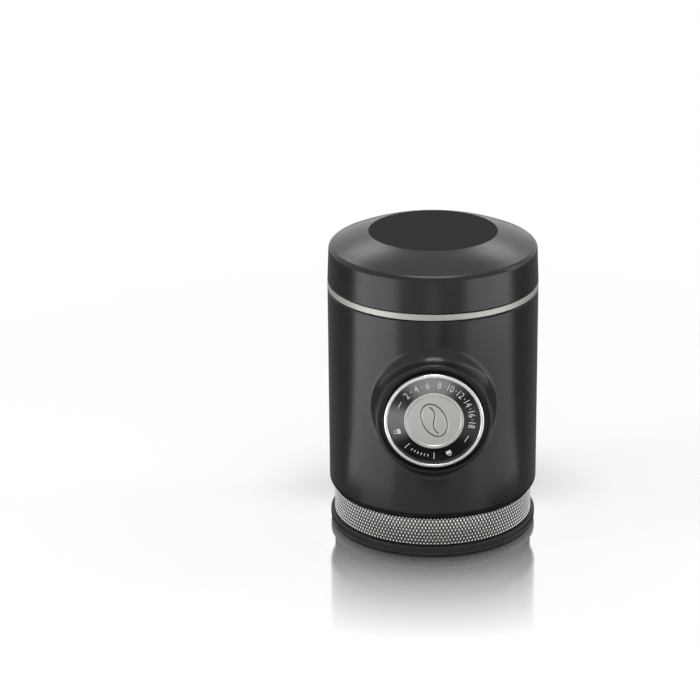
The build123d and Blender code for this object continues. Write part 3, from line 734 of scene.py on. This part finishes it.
def floor_material():
    """Pale floor, a soft mirror close to the object's front and sides and even white far from it."""
    material, g = new_material("pale_floor")
    out = g.nodes.new("ShaderNodeOutputMaterial")
    place = g.nodes.new("ShaderNodeNewGeometry").outputs["Position"]
    split = g.nodes.new("ShaderNodeSeparateXYZ")
    g.links.new(place, split.inputs["Vector"])
    radius = distance(g, place)
    diffuse = g.nodes.new("ShaderNodeBsdfDiffuse")
    diffuse.inputs["Color"].default_value = (FLOOR_WHITE, FLOOR_WHITE, FLOOR_WHITE, 1)
    gloss = g.nodes.new("ShaderNodeBsdfGlossy")
    gloss.inputs["Roughness"].default_value = MIRROR_ROUGH
    gloss.inputs["Color"].default_value = (1, 1, 1, 1)
    glow = g.nodes.new("ShaderNodeEmission")
    g.links.new(camera_or_reflection(g), glow.inputs["Strength"])
    share = g.nodes.new("ShaderNodeMath")
    share.operation = "MULTIPLY"
    g.links.new(mapped(g, radius, MIRROR_NEAR, MIRROR_FAR, MIRROR_MOST, 0), share.inputs[0])
    g.links.new(mapped(g, split.outputs["Y"], 0, MIRROR_BACK, 1, 0, "SMOOTHSTEP"), share.inputs[1])
    near = mixed(g, share.outputs[0], diffuse.outputs[0], gloss.outputs[0])
    far_share = mapped(g, radius, GLOW_FROM, GLOW_TO, 0, 1, "SMOOTHSTEP")
    g.links.new(mixed(g, far_share, near, glow.outputs[0]), out.inputs["Surface"])
    return material


def stage_mesh(name, verts, faces, material):
    mesh = bpy.data.meshes.new(name)
    mesh.from_pydata(verts, [], faces)
    obj = bpy.data.objects.new(name, mesh)
    mesh.materials.append(material)
    scene.collection.objects.link(obj)
    return obj


turns = [2 * pi * i / 96 for i in range(96)]
rim = [(FLOOR_R * cos(a), FLOOR_R * sin(a), FLOOR_Z) for a in turns]
stage_mesh("floor", rim, [tuple(range(96))], floor_material())

# ---- world: white where it is seen, softer where it lights
AMBIENT = 0.55
world = bpy.data.worlds.new("studio")
scene.world = world
world.use_nodes = True
tree = world.node_tree
background = tree.nodes["Background"]
background.inputs["Color"].default_value = (1, 1, 1, 1)
level = mapped(tree, camera_or_reflection(tree), 0, 1, AMBIENT, 1)
tree.links.new(level, background.inputs["Strength"])

# ---- lamps
TARGET = Vector((0, 0, 0.055))


def softbox(name, at, size, power):
    """Area lamp aimed at the object's middle, not seen by the camera."""
    lamp = bpy.data.lights.new(name, "AREA")
    lamp.shape = "RECTANGLE"
    lamp.size, lamp.size_y = size
    lamp.energy = power
    obj = bpy.data.objects.new(name, lamp)
    scene.collection.objects.link(obj)
    obj.location = at
    obj.rotation_euler = (TARGET - Vector(at)).to_track_quat("-Z", "Y").to_euler()
    obj.visible_camera = False
    return obj


softbox("overhead", (0.0, -0.10, 1.0), (0.50, 0.50), 5.2)
left_strip = softbox("left_strip", (-0.75, -0.30, 0.30), (0.16, 0.7), 1.2)
left_strip.visible_glossy = False
softbox("right_strip", (0.80, 0.11, 0.30), (0.14, 0.7), 0.8)


# ---- cards and panels round the object that only its reflections see, each from its front alone
def card_material(name, near_light, far_light=None, near=0.1, far=0.2):
    """Glow on a card's front, even or changing with the distance from the origin, and nothing on its back."""
    material, g = new_material(name)
    out = g.nodes.new("ShaderNodeOutputMaterial")
    geometry = g.nodes.new("ShaderNodeNewGeometry")
    glow = g.nodes.new("ShaderNodeEmission")
    if far_light is None:
        glow.inputs["Strength"].default_value = near_light
    else:
        radius = distance(g, geometry.outputs["Position"])
        g.links.new(mapped(g, radius, near, far, near_light, far_light), glow.inputs["Strength"])
    clear = g.nodes.new("ShaderNodeBsdfTransparent")
    surface = mixed(g, geometry.outputs["Backfacing"], glow.outputs[0], clear.outputs[0])
    g.links.new(surface, out.inputs["Surface"])
    return material


def only_reflected(obj):
    obj.visible_camera = False
    obj.visible_diffuse = False
    obj.visible_shadow = False
    obj.visible_transmission = False
    return obj


CARD_Z = 0.0006
CARD_GAP = 0.0006        # between the foot cover and the card round it


def sector(name, az0, az1, r0, r1, material):
    """Flat sector just over the floor, its azimuths clockwise from the front as seen from above."""
    steps = 24
    verts, faces = [], []
    for k in range(steps + 1):
        a = radians(az0 + (az1 - az0) * k / steps)
        for r in (r0, r1):
            verts.append((r * sin(a), -r * cos(a), CARD_Z))
    for k in range(steps):
        faces.append((2 * k, 2 * k + 1, 2 * k + 3, 2 * k + 2))
    return only_reflected(stage_mesh(name, verts, faces, material))


def skirt(name, outline, material, steps=96):
    """Turned card that faces outwards, so that only the floor's mirror image sees it."""
    verts, faces = [], []
    for k in range(steps):
        a = 2 * pi * k / steps
        verts += [(r * MM * cos(a), r * MM * sin(a), z * MM) for r, z in outline]
    n = len(outline)
    for k in range(steps):
        here, there = k * n, (k + 1) % steps * n
        faces += [(here + i, there + i, there + i + 1, here + i + 1) for i in range(n - 1)]
    return only_reflected(stage_mesh(name, verts, faces, material))


panel_left = card_material("panel_left", 2.3, 3.9, 0.10, 0.26)
panel_right = card_material("panel_right", 1.6, 3.8, 0.20, 0.34)
card_dark = card_material("card_dark", 0.20)
foot_dark = card_material("foot_dark", 0.04)
glow_behind = card_material("glow_behind", 4.5)
dial_light = card_material("dial_light", 1.8, 2.6, 0.145, 0.190)
dial_dim = card_material("dial_dim", 0.5)
dial_glow = card_material("dial_glow", 2.4, 3.6, 0.27, 0.33)
dial_dark = card_material("dial_dark", 0.06, 0.12, 0.12, 0.2)
skirt_shade = card_material("skirt_shade", 0.045)
sector("floor_panel_left", -88, -37, 0.080, 0.9, panel_left)
sector("floor_panel_right", 34, 88, 0.080, 0.9, panel_right)
sector("floor_card_left", -180, -89, 0.056, 0.9, card_dark)
sector("floor_card_right", 89, 180, 0.056, 0.9, card_dark)
sector("floor_card_foot", -180, 180, cover_high.x + CARD_GAP, 0.056, foot_dark)
sector("floor_card_band_left", -89, -66, 0.056, 0.080, card_dark)
sector("floor_card_band_right", 48, 89, 0.056, 0.080, card_dark)
sector("floor_light_dial_left", -17, -7.5, 0.140, 0.200, dial_light)
sector("floor_light_dial_right", 8, 17, 0.132, 0.205, dial_dim)
sector("floor_light_dial_top", -6, 5, 0.268, 0.37, dial_glow)
sector("floor_dark_dial_foot", -13, 13, 0.096, 0.132, dial_dark)
sector("floor_dark_dial_left", -14, -5.5, 0.208, 0.262, dial_dark)
sector("floor_dark_dial_right", 5.5, 14, 0.208, 0.275, dial_dark)
# dark sheet over the knurled band, seen only in the floor's mirror image: painted shadow in place of the
# band's reflection
SKIRT_R = KNURL_CREST_R + 0.06
skirt("skirt_foot", [(SKIRT_R, KNURL_LOW), (SKIRT_R, KNURL_HIGH)], skirt_shade)

PANEL_MIDDLE = Vector((0, 0, 0.10))
PANEL_ELEVATION = 37.7
PANEL_REACH = 0.6
PANEL_HALF = 0.075


def glow_panel(name, azimuth):
    """Square panel over the back that faces the lid, its azimuth clockwise from the back, seen from above."""
    a, e = radians(azimuth), radians(PANEL_ELEVATION)
    away = Vector((sin(a) * cos(e), cos(a) * cos(e), sin(e)))
    side = Vector((cos(a), -sin(a), 0)) * PANEL_HALF
    up = side.cross(away)
    middle = PANEL_MIDDLE + away * PANEL_REACH
    corners = [middle + side * i + up * j for i, j in ((-1, -1), (1, -1), (1, 1), (-1, 1))]
    return only_reflected(stage_mesh(name, [tuple(c) for c in corners], [(0, 1, 2, 3)], glow_behind))


glow_panel("glow_left", -23.4)
glow_panel("glow_right", 23.4)

# ---- camera
EYE = Vector((-0.009, -0.860, 0.3899))
AIM = Vector((-0.0033, 0.0, 0.0613))
camera = bpy.data.cameras.new("camera")
camera.lens = 139.4
camera.sensor_width = 36.0
camera.shift_x = -0.1045     # the object stands right of the picture's middle
camera.clip_start = 0.05
camera.clip_end = 50.0
eye = bpy.data.objects.new("camera", camera)
scene.collection.objects.link(eye)
eye.location = EYE
eye.rotation_euler = (AIM - EYE).to_track_quat("-Z", "Y").to_euler()
scene.camera = eye

scene.view_settings.view_transform = "Standard"
